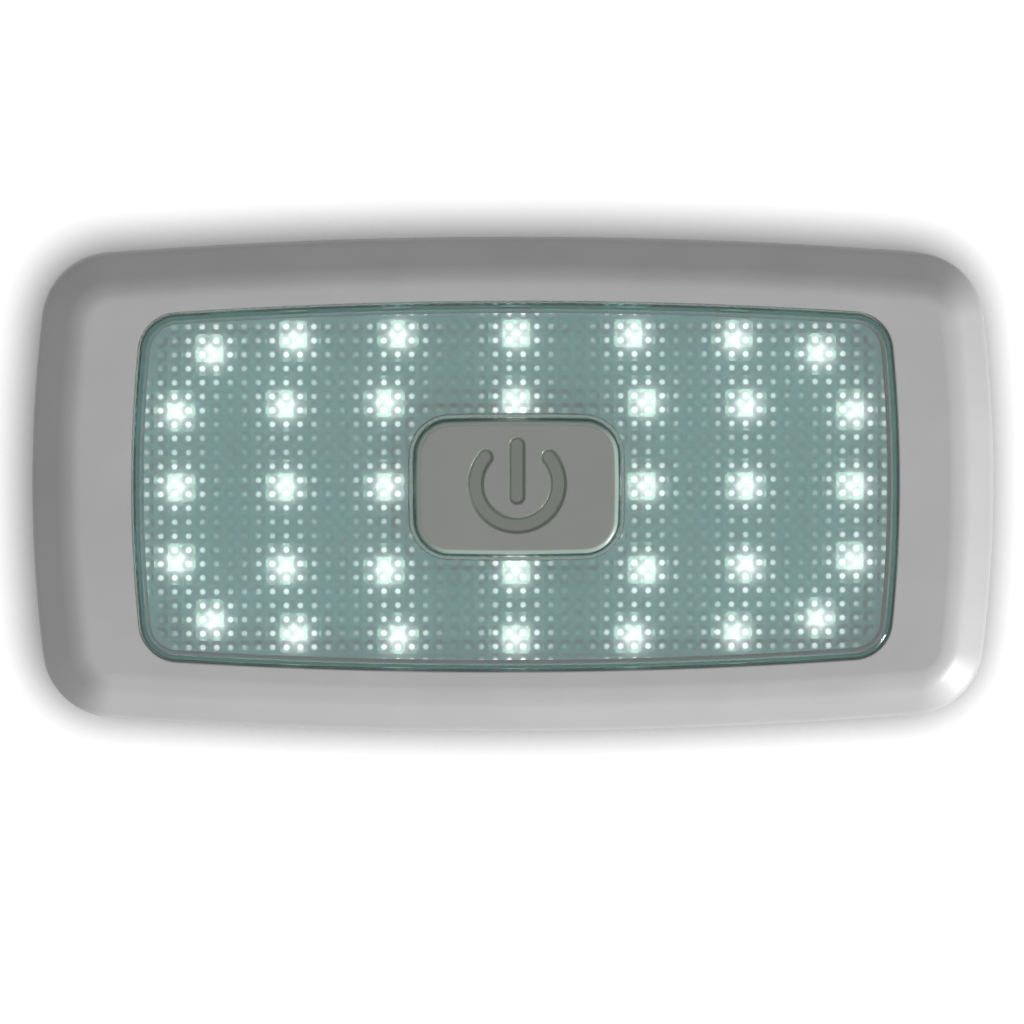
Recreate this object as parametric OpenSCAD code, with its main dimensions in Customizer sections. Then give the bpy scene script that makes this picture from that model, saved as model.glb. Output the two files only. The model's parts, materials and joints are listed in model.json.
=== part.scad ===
/* [Housing] */
// Length of the lamp along its long side
lamp_w = 170; // [168:0.5:190]
// Breadth of the lamp across its short side
lamp_h = 87.2; // [86.4:0.2:96]
// Height of the front face above the mounting face
front_z = 17; // [16.5:0.1:19]
// Radius of the bow of the long sides
long_bow_r = 945; // [800:5:1200]
// Radius of the bow of the short sides
short_bow_r = 243; // [225:1:300]
// Radius of the outer corners
corner_r = 12.5; // [11.5:0.5:16]
// Wall thickness of the front bezel
wall_t = 2; // [1.8:0.1:2.2]
// Width of the slope round the front bezel, seen from the front
slope_w = 6.1; // [5.4:0.1:7]
// Drop of the slope round the front bezel
slope_drop = 6.6; // [6:0.1:7.4]
// Rounding between the side of the bezel and its slope
side_round = 3.5; // [2:0.1:4.5]
// Rounding between the slope and the front face
shoulder_round = 5.7; // [4:0.1:6.5]
// Width of the flat front face beside the ends of the lens
face_w = 11.65; // [11:0.05:13]
// Width of the flat front face beside the long sides of the lens
face_h = 5.2; // [4.8:0.05:6]
// Chamfer round the opening for the lens
opening_chamfer = 0.3; // [0.1:0.05:0.5]

/* [Base plate] */
// Thickness of the base plate's floor
floor_t = 2; // [1.6:0.1:2.2]
// Thickness of the rim that stands on the base plate
rim_t = 1.6; // [1.2:0.1:2]
// Height of the rim on the base plate
rim_z = 7; // [6:0.1:7.4]
// Distance of the two mounting screw holes from the ends of the lamp
mount_inset = 11; // [10.5:0.1:12]
// Diameter of the mounting screw holes
mount_d = 4.4; // [3.6:0.1:5.2]
// Diameter of the ring round each mounting screw hole
mount_ring_d = 10; // [9:0.1:10.6]
// Height of the ring round each mounting screw hole
mount_ring_z = 3.4; // [3:0.1:5]
// Length of each snap catch between bezel and base plate
snap_l = 9; // [6:0.5:12]
// Height of the middle of the snap catches
snap_z = 4; // [3:0.1:5]
// How far each snap catch reaches into the bezel wall
snap_reach = 1; // [0.7:0.05:1.1]
// Height of each snap catch
snap_h = 2; // [1.4:0.1:2.4]
// Distance of the snap catches on the long sides from the ends of the lamp
snap_inset = 39; // [30:1:50]
// Diameter of the posts under the corners of the board
post_d = 6; // [5:0.1:7]
// Diameter of the locating pins on those posts
pin_d = 2.4; // [2:0.1:2.6]
// Height of the locating pins above the board
pin_proud = 0.6; // [0.3:0.1:0.9]
// Thickness of the ribs that hold the lens up
rib_t = 1.8; // [1.4:0.1:2]
// Width of the ribs that hold the lens up
rib_w = 8; // [6:0.5:9]
// Height of the web behind each rib
rib_web_z = 6; // [5:0.1:7]
// Distance of the outer ribs on the long sides from the ends of the lens
rib_inset = 17.25; // [16:0.25:22]
// Place of the inner ribs, as a share of the way to the outer ones
rib_share = 0.4; // [0.3:0.01:0.5]
// Distance of the ribs from the middle of the short sides
rib_y = 11; // [10.5:0.1:12]

/* [Wire entry] */
// Bore of the grommet for the supply wires
grommet_bore_d = 4.6; // [3.6:0.1:5]
// Diameter of the neck of the grommet
grommet_neck_d = 7; // [6.4:0.1:7.4]
// Diameter of the two lips of the grommet
grommet_lip_d = 9.6; // [9:0.1:10]
// Thickness of each lip of the grommet
grommet_lip_t = 1; // [0.8:0.1:1.1]
// Diameter of the boss that carries the grommet
entry_boss_d = 11.6; // [11.2:0.1:12]
// Height of the boss that carries the grommet
entry_boss_z = 3.2; // [2.8:0.1:4]

/* [Lens] */
// Radius of the bow of the lens's long sides
lens_long_r = 930; // [800:5:1200]
// Radius of the bow of the lens's short sides
lens_short_r = 247; // [220:1:300]
// Radius of the corners of the lens
lens_corner_r = 6.7; // [6:0.1:8]
// How far the lens stands out of the front face
lens_proud = 1.2; // [0.8:0.1:1.6]
// Thickness of the lens above its prisms
lens_t = 2.4; // [1.8:0.1:2.6]
// Rounding of the outer edge of the lens
lens_round = 1.4; // [0.8:0.1:1.6]
// Thickness of the wall round the lens
lens_wall_t = 1.8; // [1.4:0.1:2]
// Width of the flange that keeps the lens behind the bezel
flange_w = 2.2; // [1.8:0.1:2.3]
// Thickness of that flange
flange_t = 1.5; // [1.2:0.1:1.8]
// Distance between neighbouring prisms
prism_pitch = 2.45; // [2.3:0.05:3.2]
// Height of the prisms
prism_h = 0.7; // [0.5:0.05:0.9]
// Flat margin between the prisms and the walls round them
prism_margin = 0.4; // [0.2:0.05:1]
// Thickness of the lens collar round the button
collar_t = 0.8; // [0.7:0.05:1.2]
// Depth of the lens collar below the front of the lens
collar_depth = 4; // [3.6:0.1:4.2]
// How far the lens collar stands above the front of the lens
collar_proud = 0.25; // [0.15:0.05:0.35]

/* [Button] */
// Length of the button
button_w = 35.8; // [34.5:0.1:36.5]
// Breadth of the button
button_h = 23.6; // [22.6:0.1:24]
// Radius of the bow of the button's long sides
button_long_r = 420; // [300:5:700]
// Radius of the bow of the button's short sides
button_short_r = 160; // [120:5:300]
// Radius of the corners of the button
button_corner_r = 6; // [5:0.1:7]
// How far the button stands above the front of the lens
button_proud = 1.4; // [1.2:0.1:1.8]
// Thickness of the top of the button
button_t = 2.2; // [1.8:0.1:2.4]
// Thickness of the skirt round the button
skirt_t = 1.6; // [1.3:0.1:1.8]
// Rounding of the top edge of the button
button_round = 1; // [0.6:0.1:1.2]
// Width of the stop flange at the foot of the button
stop_w = 1.3; // [1:0.1:1.5]
// Thickness of the stop flange at the foot of the button
stop_t = 1.2; // [1:0.1:1.4]
// Travel of the button when it is pressed
travel = 1.6; // [1.2:0.1:1.8]
// Thickness of the cross ribs under the button
button_rib_t = 1.2; // [1:0.1:1.6]
// Depth of the cross ribs under the button
button_rib_h = 1.4; // [1:0.1:1.6]
// Diameter of the boss under the button that presses the switch
boss_d = 5; // [4:0.1:6]
// Mean radius of the ring of the power symbol
symbol_r = 7.3; // [6.5:0.1:7.8]
// Width of the grooves of the power symbol
symbol_groove = 2.4; // [1.8:0.1:2.6]
// Depth of the grooves of the power symbol
symbol_depth = 0.6; // [0.4:0.05:0.8]
// Half of the angle left open at the top of the ring
symbol_open = 50; // [40:1:60]
// Length of the bar of the power symbol
symbol_bar_l = 11.4; // [9:0.1:12]
// Height of the middle of the bar above the middle of the ring
symbol_bar_y = 2.3; // [1.5:0.1:2.6]
// Height of the symbol above the middle of the button
symbol_y = 0.6; // [0:0.1:0.8]

/* [Board and lights] */
// Height of the underside of the board above the mounting face
board_z = 6; // [5.8:0.1:6.2]
// Thickness of the board
board_t = 1.6; // [1.4:0.1:1.7]
// Side of each light package
led_size = 5; // [4:0.1:5.4]
// Height of each light package
led_t = 1.5; // [1.2:0.1:1.6]
// Diameter of the round window in each light package
led_window_d = 4; // [3:0.1:3.9]
// Depth of the round window in each light package
led_window_t = 0.25; // [0.1:0.05:0.5]
// Distance of the end lights of the two outer rows from the ends of the lens
outer_row_inset = 13.8; // [13.2:0.05:14.5]
// Distance of the end lights of the three inner rows from the ends of the lens
inner_row_inset = 7.7; // [7:0.05:8.4]
// Distance of the outer rows from the long sides of the lens
outer_row_gap = 5.6; // [5.3:0.1:6.2]
// Places of the lights in the outer rows, as shares of the way to the end light
outer_row_shares = [0.386, 0.726, 1]; // [0.3:0.001:1]
// Places of the lights in the inner rows, as shares of the way to the end light
inner_row_shares = [0.383, 0.682, 1]; // [0.3:0.001:1]
// Place of the second rows, as a share of the way to the outer rows
second_row_share = 0.562; // [0.55:0.001:0.58]
// How far the end lights of the outer rows step in to the centre line
end_light_step = 1.6; // [1:0.1:2]
// Length of each resistor
resistor_l = 3.2; // [2:0.1:3.6]
// Breadth of each resistor
resistor_w = 1.6; // [1.2:0.1:1.9]
// Height of each resistor
resistor_t = 0.6; // [0.4:0.05:0.8]
// Distance between neighbouring resistors
resistor_pitch = 9; // [7:0.1:9.6]
// Place of the two rows of resistors, as a share of the way to the second rows of lights
resistor_share = 0.5; // [0.48:0.01:0.52]
// Length of the diode
diode_l = 4.4; // [3.6:0.1:5]
// Breadth of the diode
diode_w = 2.6; // [2.2:0.1:3]
// Height of the diode
diode_t = 2; // [1.6:0.1:2.2]
// Distance of the diode from the next resistor
diode_gap = 5.2; // [4:0.1:6]
// Distance between the two board screws
screw_pitch = 22; // [21:0.1:23]
// Diameter of the thread of the board screws
screw_d = 2.2; // [1.8:0.1:2.5]
// Length of the board screws below their heads
screw_l = 5; // [4:0.1:5.2]
// Diameter of the heads of the board screws
screw_head_d = 4.2; // [3.6:0.1:4.4]
// Height of the heads of the board screws
screw_head_t = 1.6; // [1.2:0.1:1.8]
// Diameter of the bosses for the board screws
screw_boss_d = 6; // [5:0.1:7]
// Distance of the cross slot from the edge of each screw head
slot_margin = 0.85; // [0.6:0.05:1]
// Width of the cross slot in the screw heads
slot_w = 0.55; // [0.4:0.05:0.7]

/* [Switch and socket] */
// Side of the switch case
switch_w = 8.5; // [8:0.1:9]
// Height of the switch case
switch_h = 6; // [5.8:0.1:6.1]
// Wall thickness of the switch case
switch_wall_t = 0.8; // [0.6:0.05:1]
// Side of the plunger of the switch
plunger_w = 3; // [2.4:0.1:3.4]
// Side of the plunger's foot inside the case
plunger_foot_w = 5; // [4.4:0.1:5.4]
// Thickness of the plunger's foot
plunger_foot_t = 0.8; // [0.6:0.05:1]
// Height of the plunger above the case when it is out
plunger_proud = 2.2; // [2:0.1:2.3]
// Outer diameter of the switch spring
spring_d = 3.8; // [3.2:0.1:4.2]
// Wire diameter of the switch spring
spring_wire_d = 0.35; // [0.25:0.05:0.4]
// Number of turns of the switch spring
spring_turns = 4; // [3:1:4]
// Side of each switch pin
switch_pin_w = 0.6; // [0.4:0.05:0.8]
// Length of each switch pin below the case
switch_pin_l = 3; // [2.4:0.1:3.4]
// Distance between neighbouring switch pins
switch_pin_pitch = 2.5; // [2:0.1:2.8]
// Distance between the two rows of switch pins
switch_pin_rows = 5; // [4:0.1:6]
// Length of the supply socket
socket_l = 7; // [6:0.1:8]
// Breadth of the supply socket
socket_w = 8; // [7:0.1:9]
// Height of the supply socket
socket_h = 3.5; // [3.2:0.1:3.6]
// Wall thickness of the supply socket
socket_wall_t = 0.8; // [0.6:0.05:0.9]
// Distance between the two contact pins in the socket
socket_pin_pitch = 2.5; // [2:0.1:3]
// Side of each contact pin in the socket
socket_pin_w = 0.6; // [0.4:0.05:0.8]

/* [Clearances] */
// Gap between the bezel wall and the base plate
base_gap = 0.3; // [0.2:0.05:0.4]
// Gap between the snap catches and their recesses
snap_gap = 0.2; // [0.1:0.05:0.25]
// Gap between the supply socket and the ring of the mounting hole beside it
socket_gap = 2.85; // [2:0.05:3.5]
// Gap between the grommet of the wire entry and the rib beside it
entry_gap = 5.3; // [4:0.1:6]
// Gap between the lens and the opening in the bezel
lens_gap = 0.25; // [0.15:0.05:0.35]
// Gap between the lens flange and the pieces above and below it
flange_gap = 0.1; // [0.05:0.05:0.2]
// Gap between the button and the collar of the lens
button_gap = 0.35; // [0.25:0.05:0.45]
// Gap between the stop flange and the collar at rest
stop_gap = 0.2; // [0.1:0.05:0.3]
// Gap between the board and the walls and ribs round it
board_gap = 1.1; // [0.8:0.1:1.4]
// Gap round pins and screws that pass through holes
hole_gap = 0.2; // [0.1:0.05:0.3]
// Gap between screw thread and its boss
thread_gap = 0.05; // [0.03:0.01:0.08]
// Gap round the plunger in the switch case
plunger_gap = 0.2; // [0.1:0.05:0.25]
// Gap round the neck and lips of the grommet
grommet_gap = 0.05; // [0.03:0.01:0.15]

/* [Hidden] */
// Steps in each bow and in each corner of a flat outline
bow_steps = 8;
corner_steps = 10;
// How far joined bodies of one piece reach into each other
weld = 0.6;
// How far the prisms sink into the lens above them
prism_sink = 0.2;
// How far a cut runs past the faces it opens
over = 1;
smooth_fn = 48;
ring_fn = 96;
// Any length along a flat face, which gives the rounding at its edge a direction
along_face = 5;

lens_w = lamp_w - 2 * (slope_w + face_w);
lens_h = lamp_h - 2 * (slope_w + face_h);
// An outline is [half length, half breadth, long bow radius, short bow radius, corner radius]
lamp = [lamp_w / 2, lamp_h / 2, long_bow_r, short_bow_r, corner_r];
lens_form = [lens_w / 2, lens_h / 2, lens_long_r, lens_short_r, lens_corner_r];
button_form = [button_w / 2, button_h / 2, button_long_r, button_short_r, button_corner_r];

flank_z = front_z - slope_drop;
plate_z = front_z - wall_t;
base_inset = wall_t + base_gap;
rim_inset = base_inset + rim_t;
lens_z = front_z + lens_proud;
prism_z = lens_z - lens_t;
flange_top_z = plate_z - flange_gap;
flange_z = flange_top_z - flange_t;
collar_z = lens_z - collar_depth;
button_z = lens_z + button_proud;
button_under_z = button_z - button_t;
stop_top_z = collar_z - stop_gap;
stop_z = stop_top_z - stop_t;
board_top_z = board_z + board_t;
switch_top_z = board_top_z + switch_h;
plunger_top_z = switch_top_z + plunger_proud;
switch_floor_z = board_top_z + switch_wall_t;
foot_top_z = switch_top_z - switch_wall_t - plunger_gap;
foot_z = foot_top_z - plunger_foot_t;
mount_x = lamp[0] - mount_inset;
entry = [-mount_x, rib_y + rib_t / 2 + entry_gap + grommet_lip_d / 2];
snap_x = lamp[0] - snap_inset;
rib_x = lens_form[0] - rib_inset;
socket_end_x = mount_x - mount_ring_d / 2 - socket_gap;
outer_row_y = lens_form[1] - outer_row_gap;
second_row_y = outer_row_y * second_row_share;
outer_row_x = (lens_form[0] - outer_row_inset) * outer_row_shares;
inner_row_x = (lens_form[0] - inner_row_inset) * inner_row_shares;
resistor_y = second_row_y * resistor_share;

light_places = concat(
  [for (sy = [1, -1]) each outer_row(sy)],
  [for (sy = [1, -1]) each second_row(sy)],
  middle_row());
resistor_places = [for (sy = [1, -1]) for (k = [-1 : 1]) [k * resistor_pitch, sy * resistor_y]];

led_names = [for (i = [1 : len(light_places)]) numbered("led_", i)];
resistor_names = [for (i = [1 : len(resistor_places)]) numbered("resistor_", i)];

function numbered(name, i) = str(name, i < 10 ? "0" : "", i);

// Lights of one row follow the bow of the long side
function bowed(x, y) = y - x * x / (2 * lens_long_r);
function mirrored(xs) = concat([for (i = [len(xs) - 1 : -1 : 0]) -xs[i]], [0], xs);
function outer_row(sy) = [for (x = mirrored(outer_row_x))
  [x, sy * (bowed(x, outer_row_y) - (abs(x) == max(outer_row_x) ? end_light_step : 0))]];
function second_row(sy) = [for (x = mirrored(inner_row_x)) [x, sy * bowed(x, second_row_y)]];
function middle_row() = [for (x = mirrored(inner_row_x)) if (x != 0) [x, 0]];

// Centre of the top bow and of the right-hand bow, as one coordinate each
function long_centre(s) = s[1] - s[2];
function short_centre(s) = s[0] - s[3];

// Centre of the corner arc that touches both bows from the inside
function corner_centre(s) = let(
  across = [short_centre(s), -long_centre(s)],
  d = norm(across),
  u = across / d,
  r_long = s[2] - s[4],
  r_short = s[3] - s[4],
  along = (d * d + r_long * r_long - r_short * r_short) / (2 * d),
  aside = sqrt(r_long * r_long - along * along))
  [0, long_centre(s)] + along * u + aside * [u[1], -u[0]];

// The eight arcs of an outline, each [centre, radius, start angle, angle, steps]
function arcs(s) = let(
  c = corner_centre(s),
  a = atan2(c[0], c[1] - long_centre(s)),
  b = atan2(c[1], c[0] - short_centre(s)),
  turn = 90 - a - b)
  [[[short_centre(s), 0], s[3], -b, 2 * b, bow_steps],
   [c, s[4], b, turn, corner_steps],
   [[0, long_centre(s)], s[2], 90 - a, 2 * a, bow_steps],
   [[-c[0], c[1]], s[4], 90 + a, turn, corner_steps],
   [[-short_centre(s), 0], s[3], 180 - b, 2 * b, bow_steps],
   [[-c[0], -c[1]], s[4], 180 + b, turn, corner_steps],
   [[0, -long_centre(s)], s[2], 270 - a, 2 * a, bow_steps],
   [[c[0], -c[1]], s[4], 270 + a, turn, corner_steps]];

function outline_points(s, inset) = [for (arc = arcs(s)) for (k = [0 : arc[4] - 1])
  let(t = arc[2] + arc[3] * k / arc[4])
  arc[0] + (arc[1] - inset) * [cos(t), sin(t)]];

// Points of a rounding of radius r at b, between the lines to a and to c
function rounding(a, b, c, r, steps) = let(
  ua = (a - b) / norm(a - b),
  uc = (c - b) / norm(c - b),
  half = acos(ua * uc) / 2,
  mid = (ua + uc) / norm(ua + uc),
  centre = b + mid * r / sin(half),
  from = b + ua * r / tan(half) - centre,
  to = b + uc * r / tan(half) - centre,
  a0 = atan2(from[1], from[0]),
  turn = atan2(from[0] * to[1] - from[1] * to[0], from * to))
  [for (k = [0 : steps]) centre + r * [cos(a0 + turn * k / steps), sin(a0 + turn * k / steps)]];

// Follows a profile round an outline: x is the distance inwards, y is the height.
// A capped form is closed by a face at each end of its profile, and a ring joins the ends.
module lofted(s, profile, capped) {
  rings = len(profile);
  n = len(outline_points(s, 0));
  bands = capped ? rings - 1 : rings;
  polyhedron(
    points = [for (p = profile) for (q = outline_points(s, p[0])) [q[0], q[1], p[1]]],
    faces = concat(
      [for (j = [0 : bands - 1]) for (k = [0 : n - 1])
        let(a = j * n, b = (j + 1) % rings * n, m = (k + 1) % n) [a + k, b + k, b + m, a + m]],
      capped ? [[for (k = [0 : n - 1]) k], [for (k = [n - 1 : -1 : 0]) (rings - 1) * n + k]] : []));
}

module slab(s, inset, z0, z1) {
  translate([0, 0, z0]) linear_extrude(z1 - z0) polygon(outline_points(s, inset));
}

module bar_at(place, size) {
  translate([place[0] - size[0] / 2, place[1] - size[1] / 2, place[2]]) cube(size);
}

module rod(place, d, z0, z1) {
  translate([place[0], place[1], z0]) cylinder(d = d, h = z1 - z0, $fn = smooth_fn);
}

// Places its children at the middle of each snap catch, with +X pointing outwards
module at_snaps(inset) {
  long_y = bow_y(lamp, snap_x) - inset;
  for (sx = [1, -1])
    for (sy = [1, -1])
      translate([sx * snap_x, sy * long_y, 0]) rotate(sy * 90) children();
  for (sx = [0, 180])
    rotate(sx) translate([lamp[0] - inset, 0, 0]) children();
}

// Height of the long bow of an outline over the point x
function bow_y(s, x) = long_centre(s) + sqrt(s[2] * s[2] - x * x);
function bow_x(s, y) = short_centre(s) + sqrt(s[3] * s[3] - y * y);

function bezel_profile() = let(
  tilt = atan2(slope_drop, slope_w),
  inner_z = flank_z + wall_t * tan(tilt) - wall_t / cos(tilt),
  inner_x = (slope_drop - wall_t + wall_t / cos(tilt)) / tan(tilt))
  concat([[inner_x, plate_z], [wall_t, inner_z], [wall_t, 0], [0, 0]],
    rounding([0, 0], [0, flank_z], [slope_w, front_z], side_round, 6),
    rounding([0, flank_z], [slope_w, front_z], [slope_w + along_face, front_z], shoulder_round, 6));

function opening_profile() = [[-lens_gap, plate_z - over], [-lens_gap, front_z - opening_chamfer],
  [-lens_gap - opening_chamfer, front_z], [-lens_gap - opening_chamfer, front_z + over]];

module front_bezel() {
  color([0.65, 0.65, 0.65])
    difference() {
      lofted(lamp, bezel_profile(), true);
      lofted(lens_form, opening_profile(), true);
      at_snaps(base_inset)
        translate([0, -snap_l / 2 - snap_gap, snap_z - snap_h / 2 - snap_gap])
          cube([snap_reach + snap_gap, snap_l + 2 * snap_gap, snap_h + 2 * snap_gap]);
    }
}

module snap_catch() {
  rotate([90, 0, 0])
    translate([0, 0, -snap_l / 2])
      linear_extrude(snap_l)
        polygon([[-rim_t / 2, snap_z - snap_h / 2], [0, snap_z - snap_h / 2], [snap_reach, snap_z],
          [snap_reach, snap_z + snap_h / 2], [-rim_t / 2, snap_z + snap_h / 2]]);
}

// A rib under the lens flange with a web that ties it to the rim, +Y pointing outwards
module lens_rib(reach) {
  root_z = floor_t - weld;
  top_z = flange_z - flange_gap;
  bar_at([0, rib_t / 2, root_z], [rib_w, rib_t, top_z - root_z]);
  bar_at([0, (rib_t / 2 + reach) / 2, root_z], [rib_t, reach - rib_t / 2, rib_web_z - root_z]);
}

module lens_ribs() {
  for (sy = [0, 1])
    mirror([0, sy, 0])
      for (x = rib_x * [-1, -rib_share, rib_share, 1])
        translate([x, bow_y(lens_form, x), 0])
          lens_rib(bow_y(lamp, x) - bow_y(lens_form, x) - rim_inset + rim_t / 2);
  for (sx = [0, 1])
    mirror([sx, 0, 0])
      for (y = [-rib_y, rib_y])
        translate([bow_x(lens_form, y), y, 0])
          rotate(-90) lens_rib(bow_x(lamp, y) - bow_x(lens_form, y) - rim_inset + rim_t / 2);
}

module at_posts() {
  c = corner_centre(lens_form);
  for (sx = [1, -1])
    for (sy = [1, -1])
      translate([sx * c[0], sy * c[1], 0]) children();
}

module at_screws() {
  for (sx = [1, -1])
    translate([sx * screw_pitch / 2, 0, 0]) children();
}

module at_mounts() {
  for (sx = [1, -1])
    translate([sx * mount_x, 0, 0]) children();
}

module base_plate() {
  origin = [0, 0];
  color([0.8, 0.8, 0.78])
    difference() {
      union() {
        difference() {
          slab(lamp, base_inset, 0, rim_z);
          slab(lamp, rim_inset, floor_t, rim_z + over);
        }
        at_snaps(base_inset) snap_catch();
        lens_ribs();
        at_posts() {
          rod(origin, post_d, floor_t - weld, board_z);
          rod(origin, pin_d, board_z - weld, board_top_z + pin_proud);
        }
        at_screws() rod(origin, screw_boss_d, floor_t - weld, board_z);
        at_mounts() rod(origin, mount_ring_d, floor_t - weld, mount_ring_z);
        rod(entry, entry_boss_d, floor_t - weld, entry_boss_z);
      }
      at_mounts() rod(origin, mount_d, -over, mount_ring_z + over);
      at_screws() rod(origin, screw_d + 2 * thread_gap, board_top_z - screw_l - hole_gap, board_z + over);
      rod(entry, grommet_neck_d + 2 * grommet_gap, -over, entry_boss_z + over);
      rod(entry, grommet_lip_d + 2 * grommet_gap, -over, grommet_lip_t + 2 * grommet_gap);
    }
}

// A sheet with saw-tooth ridges along Y on its underside
module ridges(width, length) {
  n = ceil(width / prism_pitch / 2) * 2;
  left = -n * prism_pitch / 2;
  rotate([90, 0, 0])
    translate([0, 0, -length / 2])
      linear_extrude(length)
        polygon(concat(
          [[left, prism_z + 3 * prism_sink]],
          [for (i = [0 : n - 1]) each [[left + i * prism_pitch, prism_z],
            [left + (i + 0.5) * prism_pitch, prism_z - prism_h]]],
          [[-left, prism_z], [-left, prism_z + 3 * prism_sink]]));
}

// The prisms end a little short of the wall and the collar, and sink into the lens above them
module prisms() {
  intersection() {
    ridges(lens_w, lens_h + prism_pitch);
    rotate(90) ridges(lens_h, lens_w + prism_pitch);
    difference() {
      slab(lens_form, lens_wall_t + prism_margin, prism_z - prism_h - over, prism_z + 2 * prism_sink);
      slab(button_form, -button_gap - collar_t - prism_margin, prism_z - prism_h - 2 * over, prism_z + over);
    }
  }
}

function lens_profile() = let(under_z = prism_z + prism_sink)
  concat([[lens_wall_t, under_z], [lens_wall_t, flange_z], [-flange_w, flange_z], [-flange_w, flange_top_z],
    [0, flange_top_z]], rounding([0, flange_top_z], [0, lens_z], [along_face, lens_z], lens_round, 5));

function collar_profile() = let(out = -button_gap - collar_t, top = lens_z + collar_proud)
  concat([[-button_gap, collar_z], [out, collar_z]],
    rounding([out, collar_z], [out, top], [-button_gap, top], collar_proud, 3),
    [[-button_gap, top]]);

module lens() {
  color([0.5, 0.64, 0.62, 0.75]) {
    union() {
      difference() {
        lofted(lens_form, lens_profile(), true);
        slab(button_form, -button_gap - collar_t / 2, prism_z - over, lens_z + over);
      }
      lofted(button_form, collar_profile(), false);
    }
    prisms();
  }
}

function button_profile() = concat(
  [[skirt_t, button_under_z], [skirt_t, stop_z], [-stop_w, stop_z], [-stop_w, stop_top_z], [0, stop_top_z]],
  rounding([0, stop_top_z], [0, button_z], [along_face, button_z], button_round, 5));

module symbol_cut() {
  arc = 360 - 2 * symbol_open;
  translate([0, symbol_y, button_z - symbol_depth]) {
    rotate(90 + symbol_open)
      rotate_extrude(angle = arc, $fn = ring_fn)
        translate([symbol_r - symbol_groove / 2, 0]) square([symbol_groove, symbol_depth + over]);
    for (side = [1, -1])
      rotate(90 + side * symbol_open)
        translate([symbol_r, 0, 0]) cylinder(d = symbol_groove, h = symbol_depth + over, $fn = smooth_fn);
    bar_at([0, symbol_bar_y, 0], [symbol_groove, symbol_bar_l, symbol_depth + over]);
  }
}

module power_button() {
  origin = [0, 0];
  rib_foot_z = button_under_z - button_rib_h;
  color([0.53, 0.53, 0.51])
    difference() {
      union() {
        lofted(button_form, button_profile(), true);
        rod(origin, boss_d, plunger_top_z, button_under_z + weld);
        bar_at([0, 0, rib_foot_z], [button_w - skirt_t, button_rib_t, button_rib_h + weld]);
        bar_at([0, 0, rib_foot_z], [button_rib_t, button_h - skirt_t, button_rib_h + weld]);
      }
      symbol_cut();
    }
}

module led_board() {
  origin = [0, 0];
  color([0.9, 0.92, 0.9])
    difference() {
      slab(lens_form, board_gap, board_z, board_top_z);
      at_posts() rod(origin, pin_d + 2 * hole_gap, board_z - over, board_top_z + over);
      at_screws() rod(origin, screw_d + 2 * hole_gap, board_z - over, board_top_z + over);
      at_switch_pins() rod(origin, switch_pin_w * sqrt(2) + 2 * hole_gap, board_z - over, board_top_z + over);
    }
}

module led(place) {
  color([0.97, 0.95, 0.85])
    difference() {
      bar_at([place[0], place[1], board_top_z], [led_size, led_size, led_t]);
      rod(place, led_window_d, board_top_z + led_t - led_window_t, board_top_z + led_t + over);
    }
}

module resistor(place) {
  color([0.12, 0.12, 0.13])
    bar_at([place[0], place[1], board_top_z], [resistor_l, resistor_w, resistor_t]);
}

module diode() {
  diode_x = resistor_pitch + resistor_l / 2 + diode_gap + diode_l / 2;
  color([0.15, 0.15, 0.15])
    bar_at([-diode_x, -resistor_y, board_top_z], [diode_l, diode_w, diode_t]);
}

module board_screws() {
  origin = [0, 0];
  slot_t = screw_head_t / 2;
  slot_z = board_top_z + screw_head_t - slot_t;
  color([0.75, 0.75, 0.78])
    at_screws()
      difference() {
        union() {
          rod(origin, screw_d, board_top_z - screw_l, board_top_z + weld);
          rod(origin, screw_head_d, board_top_z, board_top_z + screw_head_t);
        }
        for (turn = [0, 90])
          rotate(turn)
            bar_at([0, 0, slot_z], [screw_head_d - 2 * slot_margin, slot_w, slot_t + over]);
      }
}

module switch_case() {
  inner_w = switch_w - 2 * switch_wall_t;
  hole_w = plunger_w + 2 * plunger_gap;
  color([0.1, 0.1, 0.11])
    difference() {
      bar_at([0, 0, board_top_z], [switch_w, switch_w, switch_h]);
      bar_at([0, 0, switch_floor_z], [inner_w, inner_w, switch_h - 2 * switch_wall_t]);
      bar_at([0, 0, switch_top_z - switch_wall_t - over], [hole_w, hole_w, switch_wall_t + 2 * over]);
    }
}

module switch_plunger() {
  color([0.9, 0.9, 0.88]) {
    bar_at([0, 0, foot_z], [plunger_w, plunger_w, plunger_top_z - foot_z]);
    bar_at([0, 0, foot_z], [plunger_foot_w, plunger_foot_w, plunger_foot_t]);
  }
}

module switch_spring() {
  sides = 6;
  per_turn = 16;
  rings = spring_turns * per_turn;
  coil_r = (spring_d - spring_wire_d) / 2;
  low = switch_floor_z + spring_wire_d / 2;
  rise = foot_z - spring_wire_d / 2 - low;
  color([0.7, 0.7, 0.72])
    polyhedron(
      points = [for (i = [0 : rings]) for (k = [0 : sides - 1])
        let(turn = 360 * i / per_turn, side = 360 * k / sides,
          r = coil_r + spring_wire_d / 2 * cos(side))
        [r * cos(turn), r * sin(turn), low + rise * i / rings + spring_wire_d / 2 * sin(side)]],
      faces = concat(
        [[for (k = [0 : sides - 1]) k]],
        [for (i = [0 : rings - 1]) for (k = [0 : sides - 1])
          let(a = i * sides + k, b = i * sides + (k + 1) % sides) [a, a + sides, b + sides, b]],
        [[for (k = [sides - 1 : -1 : 0]) rings * sides + k]]));
}

module at_switch_pins() {
  for (x = [-1 : 1])
    for (sy = [1, -1])
      translate([x * switch_pin_pitch, sy * switch_pin_rows / 2, 0]) children();
}

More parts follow.
